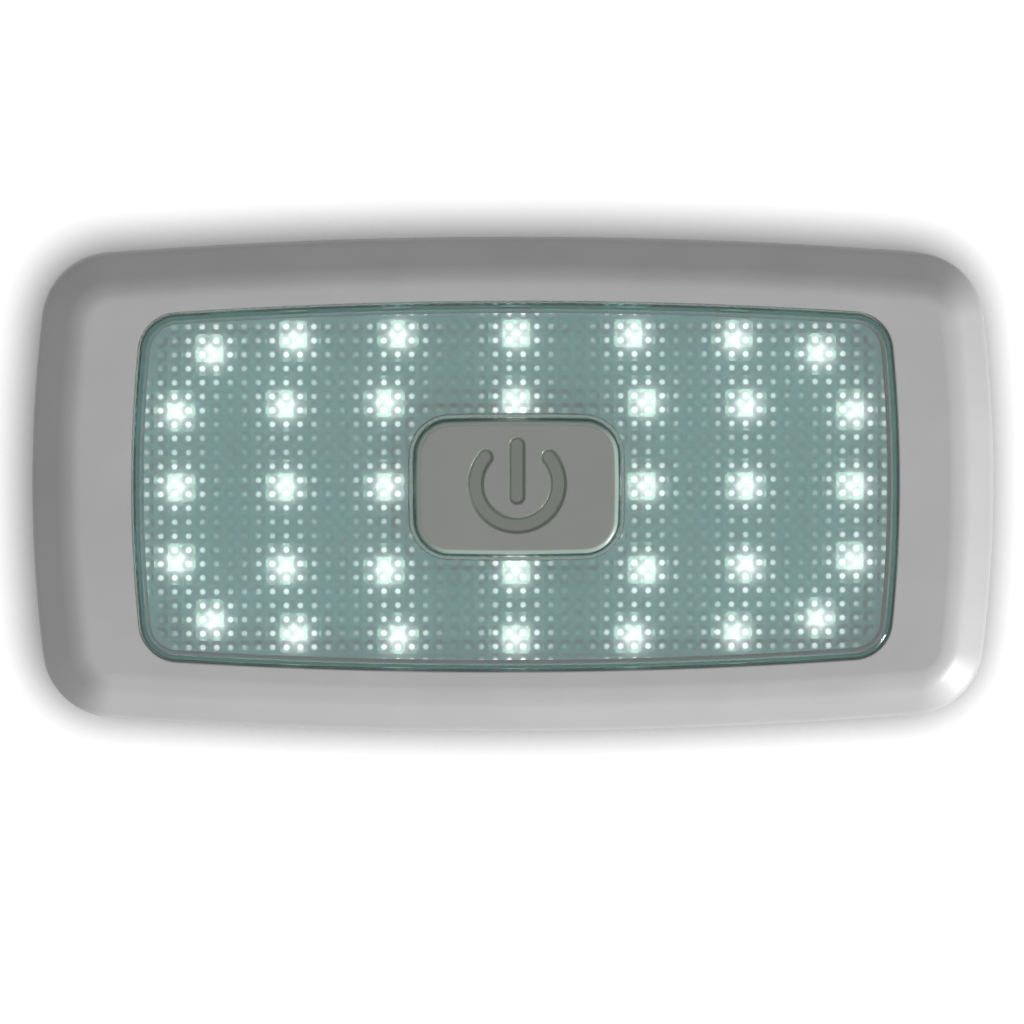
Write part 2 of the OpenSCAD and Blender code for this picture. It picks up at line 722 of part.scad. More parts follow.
module switch_pins() {
  color([0.8, 0.78, 0.7])
    at_switch_pins()
      bar_at([0, 0, board_top_z - switch_pin_l], [switch_pin_w, switch_pin_w, switch_pin_l]);
}

module supply_socket() {
  color([0.93, 0.92, 0.88])
    difference() {
      translate([-socket_end_x, -socket_w / 2, board_z - socket_h]) cube([socket_l, socket_w, socket_h]);
      translate([-socket_end_x - over, socket_wall_t - socket_w / 2, board_z - socket_h + socket_wall_t])
        cube([socket_l + over - socket_wall_t, socket_w - 2 * socket_wall_t, socket_h - 2 * socket_wall_t]);
    }
}

module socket_pins() {
  color([0.85, 0.8, 0.55])
    for (sy = [1, -1])
      translate([socket_wall_t - socket_end_x, sy * socket_pin_pitch / 2 - socket_pin_w / 2,
        board_z - socket_h / 2 - socket_pin_w / 2])
        cube([socket_l - 2 * socket_wall_t, socket_pin_w, socket_pin_w]);
}

module wire_grommet() {
  lip_top_z = entry_boss_z + grommet_gap + grommet_lip_t;
  color([0.08, 0.08, 0.08])
    translate([entry[0], entry[1], 0])
      rotate_extrude($fn = smooth_fn)
        polygon([[grommet_bore_d / 2, grommet_gap], [grommet_lip_d / 2, grommet_gap],
          [grommet_lip_d / 2, grommet_lip_t + grommet_gap], [grommet_neck_d / 2, grommet_lip_t + grommet_gap],
          [grommet_neck_d / 2, entry_boss_z + grommet_gap], [grommet_lip_d / 2, entry_boss_z + grommet_gap],
          [grommet_lip_d / 2, lip_top_z], [grommet_bore_d / 2, lip_top_z]]);
}

front_bezel();
base_plate();
lens();
power_button();
led_board();
switch_case();
switch_plunger();
switch_spring();
switch_pins();
diode();
supply_socket();
socket_pins();
wire_grommet();
board_screws();
for (i = [0 : len(light_places) - 1])
  led(light_places[i]);
for (i = [0 : len(resistor_places) - 1])
  resistor(resistor_places[i]);
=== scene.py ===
import json
import math

import bmesh
import bpy
import numpy as np
from mathutils import Matrix, Vector, geometry


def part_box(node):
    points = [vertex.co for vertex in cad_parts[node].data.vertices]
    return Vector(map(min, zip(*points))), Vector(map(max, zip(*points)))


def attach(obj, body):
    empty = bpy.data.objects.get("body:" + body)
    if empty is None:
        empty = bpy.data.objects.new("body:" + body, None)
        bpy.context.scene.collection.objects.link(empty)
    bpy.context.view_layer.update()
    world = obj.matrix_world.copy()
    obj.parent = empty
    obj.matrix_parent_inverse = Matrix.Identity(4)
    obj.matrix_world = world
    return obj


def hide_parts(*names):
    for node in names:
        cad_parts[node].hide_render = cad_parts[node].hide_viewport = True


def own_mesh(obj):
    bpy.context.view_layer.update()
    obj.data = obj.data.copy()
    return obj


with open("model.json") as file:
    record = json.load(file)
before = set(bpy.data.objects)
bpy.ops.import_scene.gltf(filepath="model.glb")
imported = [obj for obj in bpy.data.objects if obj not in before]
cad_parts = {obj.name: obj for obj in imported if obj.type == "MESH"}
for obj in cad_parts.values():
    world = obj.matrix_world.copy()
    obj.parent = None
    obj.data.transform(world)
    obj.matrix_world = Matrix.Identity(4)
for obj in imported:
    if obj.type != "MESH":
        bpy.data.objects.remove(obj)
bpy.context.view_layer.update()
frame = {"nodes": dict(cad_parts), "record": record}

MM = 0.001

# Sizes of the lamp in millimetres, as the solids have them. SYMBOL_OPEN is in degrees, to each side of the bar.
WALL_T = 2.0
LONG_BOW_R = 945.0
SHORT_BOW_R = 243.0
CORNER_R = 12.5
SLOPE_W = 6.1
SLOPE_DROP = 6.6
SIDE_ROUND = 3.5
SHOULDER_ROUND = 5.7
LENS_LONG_R = 930.0
LENS_SHORT_R = 247.0
LENS_CORNER_R = 6.7
LENS_T = 2.4
LENS_ROUND = 1.4
LENS_WALL_T = 1.8
LENS_GAP = 0.25
FLANGE_W = 2.2
FLANGE_T = 1.5
PRISM_PITCH = 2.45
PRISM_H = 0.62
COLLAR_T = 0.8
COLLAR_PROUD = 0.25
COLLAR_DEPTH = 4.0
COLLAR_FOOT = 0.2
COLLAR_ROUND = 0.24
BUTTON_LONG_R = 420.0
BUTTON_SHORT_R = 160.0
BUTTON_CORNER_R = 6.0
BUTTON_GAP = 0.35
BUTTON_T = 2.2
BUTTON_ROUND = 1.0
SKIRT_T = 1.6
STOP_W = 1.3
STOP_T = 1.2
SYMBOL_R = 7.3
SYMBOL_GROOVE = 2.4
SYMBOL_DEPTH = 0.6
SYMBOL_OPEN = 50.0
SYMBOL_BAR_L = 11.4
SYMBOL_BAR_Y = 2.3
SYMBOL_Y = 0.6
BUTTON_RIB_T = 1.2
BUTTON_RIB_H = 1.4
BOSS_R = 2.5
SPRING_WIRE = 0.35
SPRING_TURNS = 4
EDGE_ROUND = 0.35

# How finely the bows, corners, roundings, prisms, rings of the button and turns of the spring are drawn
BOW_STEPS = 24
FINE_BOW_STEPS = 84
CORNER_STEPS = 16
ROUND_STEPS = 8
FOOT_STEPS = 3
SHOULDER_STEPS = 14
OPENING_STEPS = 4
LENS_STEPS = 12
COLLAR_STEPS = 5
CELLS_PER_PRISM = 6
INWARD_RINGS = 96
ROD_STEPS = 32
COIL_STEPS = 32
WIRE_SIDES = 10
# Edges that turn more than this are drawn sharp
SHARP_ANGLE = math.radians(32)
# Lengths in millimetres that are too small to count
TOUCH = 0.01
SAME_PLACE = 1e-4
DELAUNAY_EPSILON = 1e-7

# Plain rim between the prisms and the walls of the lens, and how soon the prisms reach their full height
RIM_W = 0.25
FADE_W = 0.9

# The painted light in the lens, shown as glow in its own material: the size of a painted dot as a share of its
# prism, how far in millimetres the painted dots and the painted halo reach from a light, how strong they are
# there, and how much painted shine the collar and the rounded rim get
DOT_R = 0.2
DOT_SOFT = 0.08
DOT_REACH = 5.0
DOT_STRENGTH = 4.4
FAINT_DOT = 0.1
HALO_REACH = 2.35
HALO_STRENGTH = 2.5
PAINTED_COLLAR_SHINE = 0.12
PAINTED_RIM_SHINE = 0.055
RIM_SHARE = 0.95
# Colours of the painted glow over the prisms and of the painted shine on the collar and rim
PAINTED_LENS_GLOW = (1.0, 0.54, 0.54, 1.0)
PAINTED_EDGE_GLOW = (0.78, 0.93, 0.86, 1.0)
LENS_ABSORPTION = (0.05, 0.525, 0.505, 1.0)
LENS_DENSITY = 540.0
PRISM_ROUGHNESS = 0.26

# The button's finish: how soft the edges of the symbol are, how strongly its sides and rim take a painted teal
# light like the lens's tone, and how much painted shade darkens the floor of the grooves
GROOVE_SOFT = 0.3
BUTTON_RIM_PAINTED_LIGHT = 0.7
PAINTED_GROOVE_SHADE = 0.07

# Scale of the spark-eroded grain on moulded plastic
GRAIN_SCALE = 6500.0

# The floor and the world: how far and how hard the painted shadow round the lamp's foot reaches, how much white
# the floor adds where it is seen, and how much light the world gives apart from showing white
FLOOR_HALF = 2.5
PAINTED_SHADOW_REACH = 0.0075
PAINTED_SHADOW_POWER = 1.35
FLOOR_WHITE = 0.64
WORLD_LIGHT = 0.02

# The photograph: pixels across its frame, the lamp's middle and its length there
FRAME_PX = 1024.0
LAMP_MIDDLE_PX = (514.5, 485.0)
LAMP_LENGTH_PX = 963.0
# The camera: its distance in metres, how far it stands to the left and above in degrees, and its sensor
CAMERA_DISTANCE = 1.5
CAMERA_TURN = 2.9
CAMERA_TILT = 2.9
SENSOR_MM = 36.0


def node_box(name):
    """Lowest and highest corner of a node's box, in millimetres."""
    low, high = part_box(name)
    return [v / MM for v in low], [v / MM for v in high]


# Outlines as half length, half height, radii of the long and the short bow, and radius of the corner
bezel_high = node_box("front_bezel")[1]
lens_low, lens_high = node_box("lens")
button_low, button_high = node_box("power_button")
LAMP_FORM = (bezel_high[0], bezel_high[1], LONG_BOW_R, SHORT_BOW_R, CORNER_R)
LENS_FORM = (lens_high[0] - FLANGE_W, lens_high[1] - FLANGE_W, LENS_LONG_R, LENS_SHORT_R, LENS_CORNER_R)
BUTTON_SIZE = (button_high[0] - STOP_W, button_high[1] - STOP_W)
BUTTON_FORM = BUTTON_SIZE + (BUTTON_LONG_R, BUTTON_SHORT_R, BUTTON_CORNER_R)

# Heights above the mounting face
FRONT_Z = bezel_high[2]
PLATE_Z = FRONT_Z - WALL_T
FLANK_Z = FRONT_Z - SLOPE_DROP
LENS_Z = lens_high[2] - COLLAR_PROUD
PRISM_Z = LENS_Z - LENS_T
FLANGE_Z = lens_low[2]
COLLAR_Z = LENS_Z - COLLAR_DEPTH
BUTTON_Z = button_high[2]
STOP_Z = button_low[2]
BOSS_Z = node_box("switch_plunger")[1][2]

# Middles of the lights
LIGHTS = [
    tuple((a + b) / 2 for a, b in zip(*node_box(name)))[:2]
    for name in frame["nodes"]
    if name[:4] == "led_" and name[4:].isdigit()
]


# Outlines and pieces


def corner_centre(form):
    """Centre of the corner arc that touches the long and the short bow from the inside."""
    half_w, half_h, r_long, r_short, r = form
    long_centre = np.array([0.0, half_h - r_long])
    across = np.array([half_w - r_short, 0.0]) - long_centre
    d = np.hypot(*across)
    u = across / d
    a, b = r_long - r, r_short - r
    along = (d * d + a * a - b * b) / (2 * d)
    aside = math.sqrt(a * a - along * along)
    return long_centre + along * u + aside * np.array([u[1], -u[0]])


def corner_angles(form):
    """How far the long and the short bow reach from their middles, in radians."""
    c = corner_centre(form)
    a = math.atan2(c[0], c[1] - (form[1] - form[2]))
    b = math.atan2(c[1], c[0] - (form[0] - form[3]))
    return a, b


def outline(form, inset, bow_steps):
    """Points round an outline, moved inwards by inset."""
    half_w, half_h, r_long, r_short, r = form
    c = corner_centre(form)
    a, b = corner_angles(form)
    turn = math.pi / 2 - a - b
    arcs = []
    for quarter in range(4):
        start = quarter * math.pi / 2
        sx = 1 if quarter in (0, 3) else -1
        sy = 1 if quarter in (0, 1) else -1
        if quarter % 2 == 0:
            arcs.append(((sx * (half_w - r_short), 0.0), r_short, start - b, 2 * b, bow_steps))
            arcs.append(((sx * c[0], sy * c[1]), r, start + b, turn, CORNER_STEPS))
        else:
            arcs.append(((0.0, -sx * (half_h - r_long)), r_long, start - a, 2 * a, bow_steps))
            arcs.append(((sx * c[0], sy * c[1]), r, start + a, turn, CORNER_STEPS))
    points = []
    for centre, radius, start, angle, steps in arcs:
        t = start + angle * np.arange(steps) / steps
        arc = np.stack([np.cos(t), np.sin(t)], axis=1) * (radius - inset)
        points.append(arc + np.array(centre))
    return np.concatenate(points)


def depth_inside(form, x, y):
    """How far points lie inside an outline, negative outside it."""
    half_w, half_h, r_long, r_short, r = form
    ax, ay = np.abs(x), np.abs(y)
    c = corner_centre(form)
    a, b = corner_angles(form)
    long_depth = r_long - np.hypot(ax, ay - (half_h - r_long))
    short_depth = r_short - np.hypot(ax - (half_w - r_short), ay)
    angle = np.arctan2(ay - c[1], ax - c[0])
    in_corner = (angle > b) & (angle < math.pi / 2 - a)
    corner_depth = np.where(in_corner, r - np.hypot(ax - c[0], ay - c[1]), np.inf)
    return np.minimum(np.minimum(long_depth, short_depth), corner_depth)


def rounding(a, b, c, r, steps=ROUND_STEPS):
    """Points of a rounding of radius r at b, between the lines towards a and c, however far those lie."""
    a, b, c = np.array(a, float), np.array(b, float), np.array(c, float)
    ua = (a - b) / np.linalg.norm(a - b)
    uc = (c - b) / np.linalg.norm(c - b)
    half = math.acos(float(ua @ uc)) / 2
    centre = b + (ua + uc) / np.linalg.norm(ua + uc) * r / math.sin(half)
    start = b + ua * r / math.tan(half) - centre
    end = b + uc * r / math.tan(half) - centre
    turn = math.atan2(start[0] * end[1] - start[1] * end[0], float(start @ end))
    first = math.atan2(start[1], start[0])
    angles = first + turn * np.arange(steps + 1) / steps
    return [tuple(centre + r * np.array([math.cos(t), math.sin(t)])) for t in angles]


def rings_of(form, profile, bow_steps=BOW_STEPS):
    """One ring of points for each pair of inset and height in a profile."""
    rings = []
    for inset, z in profile:
        points = outline(form, inset, bow_steps)
        rings.append(np.column_stack([points, np.full(len(points), z)]))
    return rings


def band_faces(starts, per_ring):
    """Four-sided faces between neighbouring rings, given the number of each ring's first point."""
    faces = []
    for a, b in zip(starts[:-1], starts[1:]):
        for k in range(per_ring):
            m = (k + 1) % per_ring
            faces.append((a + k, b + k, b + m, a + m))
    return faces


def make_piece(name, points, faces, node, body, **values):
    """A piece that stands for a node and has its finish. Its points keep the values that the finish reads."""
    mesh = bpy.data.meshes.new(name)
    mesh.from_pydata([tuple(p) for p in np.asarray(points) * MM], [], faces)
    mesh.validate()
    turned = bmesh.new()
    turned.from_mesh(mesh)
    bmesh.ops.recalc_face_normals(turned, faces=turned.faces)
    turned.to_mesh(mesh)
    turned.free()
    mesh.polygons.foreach_set("use_smooth", [True] * len(mesh.polygons))
    mesh.set_sharp_from_angle(angle=SHARP_ANGLE)
    for key, numbers in values.items():
        mesh.attributes.new(key, "FLOAT", "POINT").data.foreach_set("value", numbers.astype(np.float32))
    mesh.materials.append(FINISH[SLOT_OF[node]])
    piece = bpy.data.objects.new(name, mesh)
    bpy.context.scene.collection.objects.link(piece)
    weighted = piece.modifiers.new("weighted", "WEIGHTED_NORMAL")
    weighted.keep_sharp = True
    weighted.weight = 90
    weighted.mode = "FACE_AREA"
    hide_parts(node)
    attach(piece, body)
    return piece


# Materials


class Nodes:
    """A short way to write a node material."""

    def __init__(self, name):
        self.material = bpy.data.materials.new(name)
        self.material.use_nodes = True
        self.tree = self.material.node_tree
        self.shader = self.tree.nodes["Principled BSDF"]
        self.output = self.tree.nodes["Material Output"]

    def add(self, kind, inputs=None, **settings):
        """A new node with its settings and inputs."""
        node = self.tree.nodes.new(kind)
        for key, value in settings.items():
            setattr(node, key, value)
        for key, value in (inputs or {}).items():
            self.plug(value, node.inputs[key])
        return node

    def plug(self, value, socket):
        """Links an output to a socket, or sets the socket to a plain value."""
        if isinstance(value, bpy.types.NodeSocket):
            self.tree.links.new(value, socket)
        else:
            socket.default_value = value

    def set(self, **values):
        """Sets inputs of the shader, with _ for a space in their names."""
        for key, value in values.items():
            self.plug(value, self.shader.inputs[key.replace("_", " ")])

    def place(self):
        """A point's place in the frame, in metres."""
        return self.add("ShaderNodeTexCoord").outputs["Object"]

    def kept(self, name):
        """A value that the mesh keeps for each point."""
        return self.add("ShaderNodeAttribute", attribute_name=name).outputs["Fac"]

    def noise(self, scale, detail=3.0, roughness=0.5):
        """Noise of 0 to 1, with the scale as the number of its waves in a metre."""
        inputs = {"Scale": scale, "Detail": detail, "Roughness": roughness, "Vector": self.place()}
        return self.add("ShaderNodeTexNoise", inputs).outputs["Fac"]

    def ramp(self, factor, stops):
        """A factor of 0 to 1 as a colour, from pairs of place and colour."""
        node = self.add("ShaderNodeValToRGB", {"Fac": factor})
        elements = node.color_ramp.elements
        while len(elements) < len(stops):
            elements.new(0.5)
        for element, (place, colour) in zip(elements, stops):
            element.position = place
            element.color = colour
        return node.outputs["Color"]

    def mixed(self, factor, first, second):
        """The first colour where the factor is 0 and the second where it is 1."""
        inputs = {"Factor": factor, 6: first, 7: second}
        return self.add("ShaderNodeMix", inputs, data_type="RGBA").outputs[2]

    def number_math(self, operation, *values):
        """The result of a calculation with numbers."""
        return self.add("ShaderNodeMath", dict(enumerate(values)), operation=operation).outputs[0]

    def vector_math(self, operation, *values, result="Vector"):
        """The result of a calculation with vectors."""
        node = self.add("ShaderNodeVectorMath", dict(enumerate(values)), operation=operation)
        return node.outputs[result]

    def step_down(self, value, start, end, **settings):
        """1 up to the start and 0 from the end on."""
        inputs = {"Value": value, "From Min": start, "From Max": end, "To Min": 1.0, "To Max": 0.0}
        return self.add("ShaderNodeMapRange", inputs, **settings).outputs["Result"]

    def spread(self, factor, low, high):
        """A factor of 0 to 1 as a number from low to high."""
        node = self.add("ShaderNodeMapRange", {"Value": factor, "To Min": low, "To Max": high})
        return node.outputs["Result"]

    def bump(self, height, distance):
        """A relief of this depth, in metres."""
        return self.add("ShaderNodeBump", {"Height": height, "Distance": distance}).outputs["Normal"]

    def grain(self, distance):
        """The fine spark-eroded grain of moulded plastic."""
        return self.bump(self.noise(GRAIN_SCALE, detail=2.0, roughness=0.6), distance)


def grey(value):
    """A grey colour."""
    return (value, value, value, 1.0)


def tinted(colour, factor):
    """A colour made lighter or darker."""
    return tuple(min(1.0, c * factor) for c in colour) + (1.0,)


def moulded_plastic(name, colour, roughness, grain=0.00001, variation=0.04):
    """Moulded plastic with a fine spark-eroded grain and a slight change of tone."""
    m = Nodes(name)
    stops = [(0.3, tinted(colour, 1 - variation)), (0.7, tinted(colour, 1 + variation))]
    m.set(Base_Color=m.ramp(m.noise(60.0, detail=2.0), stops))
    m.set(Roughness=m.spread(m.noise(900.0), roughness - 0.05, roughness + 0.05))
    m.set(Normal=m.grain(grain))
    return m.material


def painted_prism_dots(m):
    """1 on a small round spot in the middle of each prism and 0 round it: where the painted glow shows."""
    per_metre = 1 / (PRISM_PITCH * MM)
    cells = m.vector_math("MULTIPLY", m.place(), (per_metre, per_metre, 0.0))
    centred = m.vector_math("SUBTRACT", m.vector_math("FRACTION", cells), (0.5, 0.5, 0.0))
    away = m.vector_math("LENGTH", centred, result="Value")
    return m.step_down(away, DOT_R - DOT_SOFT, DOT_R + DOT_SOFT, interpolation_type="SMOOTHSTEP")


def lens_material():
    """Clear polycarbonate with a teal body tint, and painted glow in its emission over the prisms, collar and
    rim.
    """
    m = Nodes("lens_plastic")
    m.set(Base_Color=(1.0, 1.0, 1.0, 1.0), IOR=1.5, Transmission_Weight=1.0)
    wear = m.spread(m.noise(400.0, detail=2.0), 0.02, 0.06)
    m.set(Roughness=m.number_math("MULTIPLY_ADD", m.kept("prisms"), PRISM_ROUGHNESS, wear))
    # Painted light: the lens's own emission draws the glowing dots, the halos and the shine on collar and rim
    m.set(Emission_Color=m.mixed(m.kept("edge"), PAINTED_LENS_GLOW, PAINTED_EDGE_GLOW))
    m.set(Emission_Strength=m.number_math("MULTIPLY_ADD", painted_prism_dots(m), m.kept("glow"), m.kept("halo")))
    m.material.cycles.emission_sampling = "NONE"
    tint = m.add("ShaderNodeVolumeAbsorption", {"Color": LENS_ABSORPTION, "Density": LENS_DENSITY})
    m.tree.links.new(tint.outputs["Volume"], m.output.inputs["Volume"])
    return m.material


def led_material():
    """White package with a lit round window."""
    m = Nodes("led_package")
    generated = m.add("ShaderNodeTexCoord").outputs["Generated"]
    centred = m.vector_math("SUBTRACT", generated, (0.5, 0.5, 0.0))
    flat = m.vector_math("MULTIPLY", centred, (1.0, 1.0, 0.0))
    window = m.step_down(m.vector_math("LENGTH", flat, result="Value"), 0.36, 0.40)
    m.set(Base_Color=m.ramp(window, [(0.0, (0.9, 0.9, 0.88, 1)), (1.0, (0.95, 0.9, 0.6, 1))]))
    m.set(Roughness=0.4, Emission_Color=(1.0, 1.0, 0.97, 1.0))
    m.set(Emission_Strength=m.spread(window, 0.0, 0.6))
    m.material.cycles.emission_sampling = "NONE"
    return m.material


def board_material():
    """Pale green solder mask over copper tracks that show as a faint relief."""
    m = Nodes("board")
    tracks = m.add("ShaderNodeTexBrick", {"Vector": m.place(), "Scale": 90.0, "Mortar Size": 0.03,
                                          "Color1": grey(1.0), "Color2": grey(0.9), "Mortar": grey(0.4)})
    stops = [(0.3, (0.33, 0.475, 0.45, 1)), (1.0, (0.39, 0.555, 0.525, 1))]
    m.set(Base_Color=m.ramp(tracks.outputs["Color"], stops))
    m.set(Roughness=m.spread(m.noise(300.0), 0.25, 0.4))
    m.set(Normal=m.bump(tracks.outputs["Fac"], 0.00003))
    return m.material


def button_material():
    """Warm grey moulded plastic, duller on the floor of the symbol's grooves, with painted shade there and
    painted light on its rim.
    """
    m = Nodes("button_plastic")
    groove = m.kept("groove")
    tone = m.ramp(m.noise(90.0), [(0.3, (0.125, 0.138, 0.121, 1)), (0.7, (0.139, 0.151, 0.134, 1))])
    # Painted shade on the floor of the grooves
    groove_shaded_tone = m.mixed(m.spread(groove, 0.0, PAINTED_GROOVE_SHADE), tone, (0.06, 0.06, 0.055, 1))
    # Painted light: a pale teal on the sides and rim, and light lines along the grooves' edges
    m.set(Base_Color=m.mixed(m.kept("rim"), groove_shaded_tone, (0.31, 0.39, 0.35, 1)))
    m.set(Roughness=m.spread(groove, 0.34, 0.55))
    m.set(Normal=m.grain(0.00001))
    return m.material


def metal(name, colour, roughness):
    """Drawn or plated metal with faint wear in tone and gloss."""
    m = Nodes(name)
    wear = m.noise(2500.0, detail=4.0)
    m.set(Base_Color=m.ramp(wear, [(0.3, tinted(colour, 0.85)), (0.7, tinted(colour, 1.1))]), Metallic=1.0)
    m.set(Roughness=m.spread(wear, roughness - 0.08, roughness + 0.1))
    m.set(Normal=m.bump(m.noise(5000.0, detail=2.0), 0.000004))
    return m.material


FINISH = {
    "bezel_plastic": moulded_plastic("bezel_plastic", (0.352, 0.352, 0.352), 0.42),
    "base_plastic": moulded_plastic("base_plastic", (0.60, 0.60, 0.58), 0.5),
    "button_plastic": button_material(),
    "white_plastic": moulded_plastic("white_plastic", (0.80, 0.79, 0.74), 0.4),
    "black_plastic": moulded_plastic("black_plastic", (0.03, 0.03, 0.031), 0.4),
    "resistor_body": moulded_plastic("resistor_body", (0.035, 0.036, 0.04), 0.55, grain=0.00002),
    "grommet_rubber": moulded_plastic("grommet_rubber", (0.02, 0.02, 0.02), 0.7, grain=0.00003),
    "lens_plastic": lens_material(),
    "led_package": led_material(),
    "board": board_material(),
    "screw_steel": metal("screw_steel", (0.62, 0.62, 0.64), 0.3),
    "spring_steel": metal("spring_steel", (0.55, 0.55, 0.57), 0.25),
    "tinned_brass": metal("tinned_brass", (0.72, 0.68, 0.5), 0.35),
}
DIODE_GLASS = moulded_plastic("diode_glass", (0.5, 0.47, 0.42), 0.2)
# The material slot that the record gives each node
SLOT_OF = {part["node"]: part["material_slot"] for part in frame["record"]["subparts"]}

for node, slot_name in SLOT_OF.items():
    for slot in frame["nodes"][node].material_slots:
        slot.material = DIODE_GLASS if node == "diode" else FINISH[slot_name]


# The front bezel


def bezel_rings():
    """Rings round the bezel's section: foot, slope and shoulder outside, the opening, and the inside."""
    tilt = math.atan2(SLOPE_DROP, SLOPE_W)
    inner_z = FLANK_Z + WALL_T * math.tan(tilt) - WALL_T / math.cos(tilt)
    inner_x = (SLOPE_DROP - WALL_T + WALL_T / math.cos(tilt)) / math.tan(tilt)
    shoulder = (SLOPE_W, FRONT_Z)
    outer = (
        [(WALL_T, 0.0)]
        + rounding((WALL_T, 0.0), (0.0, 0.0), (0.0, FLANK_Z), EDGE_ROUND, FOOT_STEPS)
        + rounding((0.0, 0.0), (0.0, FLANK_Z), shoulder, SIDE_ROUND)
        + rounding((0.0, FLANK_Z), shoulder, (2 * SLOPE_W, FRONT_Z), SHOULDER_ROUND, SHOULDER_STEPS)
    )
    edge = -LENS_GAP
    opening = (
        rounding((edge - EDGE_ROUND, FRONT_Z), (edge, FRONT_Z), (edge, PLATE_Z), EDGE_ROUND, OPENING_STEPS)
        + [(edge, PLATE_Z)]
    )
    inside = [(inner_x, PLATE_Z), (WALL_T, inner_z)]
    return rings_of(LAMP_FORM, outer) + rings_of(LENS_FORM, opening) + rings_of(LAMP_FORM, inside)


def make_bezel():
    """The bezel as one closed shell."""
    rings = bezel_rings()
    per_ring = len(rings[0])
    starts = [per_ring * j for j in range(len(rings))] + [0]
    make_piece("bezel_shell", np.concatenate(rings), band_faces(starts, per_ring), "front_bezel", "housing")


# The lens


def clear_of_walls(x, y):
    """How far points lie from the wall and from the collar of the lens, negative inside those."""
    from_wall = depth_inside(LENS_FORM, x, y) - LENS_WALL_T
    from_collar = -BUTTON_GAP - COLLAR_T - depth_inside(BUTTON_FORM, x, y)
    return np.minimum(from_wall, from_collar)


def pillow_z(x, y):
    """Underside of the lens: a rounded pillow in each square of the prism grid, fading out at the walls."""
    u = 2 * (x / PRISM_PITCH - np.floor(x / PRISM_PITCH)) - 1
    v = 2 * (y / PRISM_PITCH - np.floor(y / PRISM_PITCH)) - 1
    fade = np.clip((clear_of_walls(x, y) - RIM_W) / FADE_W, 0, 1)
    return PRISM_Z - PRISM_H * fade * (1 - u * u) * (1 - v * v)


def painted_prism_light(x, y):
    """How brightly the painted dots glow at each point, and the painted halo over each light."""
    glow = np.full_like(x, FAINT_DOT)
    halo = np.zeros_like(x)
    for lx, ly in LIGHTS:
        away = np.hypot(x - lx, y - ly)
        glow += DOT_STRENGTH * np.exp(-((away / DOT_REACH) ** 2))
        halo += HALO_STRENGTH * np.exp(-((away / HALO_REACH) ** 2))
    return glow, halo


def prism_grid(step):
    """Grid points over the whole lens, as x and y, and which of their squares are clear of the walls."""
    nx = int(math.ceil(LENS_FORM[0] / step)) + 1
    ny = int(math.ceil(LENS_FORM[1] / step)) + 1
    px, py = np.meshgrid(np.arange(-nx, nx + 1) * step, np.arange(-ny, ny + 1) * step, indexing="ij")
    clear = clear_of_walls(px, py) > RIM_W
    return px, py, clear[:-1, :-1] & clear[1:, :-1] & clear[:-1, 1:] & clear[1:, 1:]


def strip_faces(points, ids, edges, squares, step):
    """Triangles over the points with these numbers, between the squares of the grid and the walls."""
    local = {int(number): k for k, number in enumerate(ids)}
    flat = [Vector([float(v) for v in points[number][:2]]) for number in ids]
    lines = [(local[int(a)], local[int(b)]) for a, b in edges]
    found = geometry.delaunay_2d_cdt(flat, lines, [], 0, DELAUNAY_EPSILON)
    triangles, origins = found[2], found[3]
    nx, ny = squares.shape[0] // 2, squares.shape[1] // 2
    faces = []
    for triangle in triangles:
        corners = [int(ids[origins[k][0]]) for k in triangle]
        x, y, _ = points[corners].mean(axis=0)
        in_square = squares[int(math.floor(x / step)) + nx, int(math.floor(y / step)) + ny]
        if not in_square and clear_of_walls(x, y) >= -SAME_PLACE:
            faces.append(tuple(reversed(corners)))
    return faces


def pillow_mesh(outer_ring, inner_ring):
    """Points and faces of the underside between two rings, with the rings' points first."""
    step = PRISM_PITCH / CELLS_PER_PRISM
    px, py, squares = prism_grid(step)
    around = np.pad(squares, 1)
    corners = np.stack([around[:-1, :-1], around[1:, :-1], around[:-1, 1:], around[1:, 1:]])
    used = corners.any(axis=0)
    rim = used & ~corners.all(axis=0)
    n_out, n_in = len(outer_ring), len(inner_ring)
    first = n_out + n_in
    number = np.full(used.shape, -1)
    number[used] = first + np.arange(int(used.sum()))
    grid = np.column_stack([px[used], py[used], pillow_z(px[used], py[used])])
    points = np.concatenate([outer_ring, inner_ring, grid])
    i, j = np.nonzero(squares)
    faces = np.column_stack([number[i, j], number[i, j + 1], number[i + 1, j + 1], number[i + 1, j]])

    edges = [(k, (k + 1) % n_out) for k in range(n_out)]
    edges += [(n_out + k, n_out + (k + 1) % n_in) for k in range(n_in)]
    i, j = np.nonzero(around[1:-1, 1:] != around[1:-1, :-1])
    edges += zip(number[i, j], number[i + 1, j])
    i, j = np.nonzero(around[1:, 1:-1] != around[:-1, 1:-1])
    edges += zip(number[i, j], number[i, j + 1])
    ids = np.concatenate([np.arange(first), number[rim]])
    return points, [tuple(face) for face in faces.tolist()] + strip_faces(points, ids, edges, squares, step)


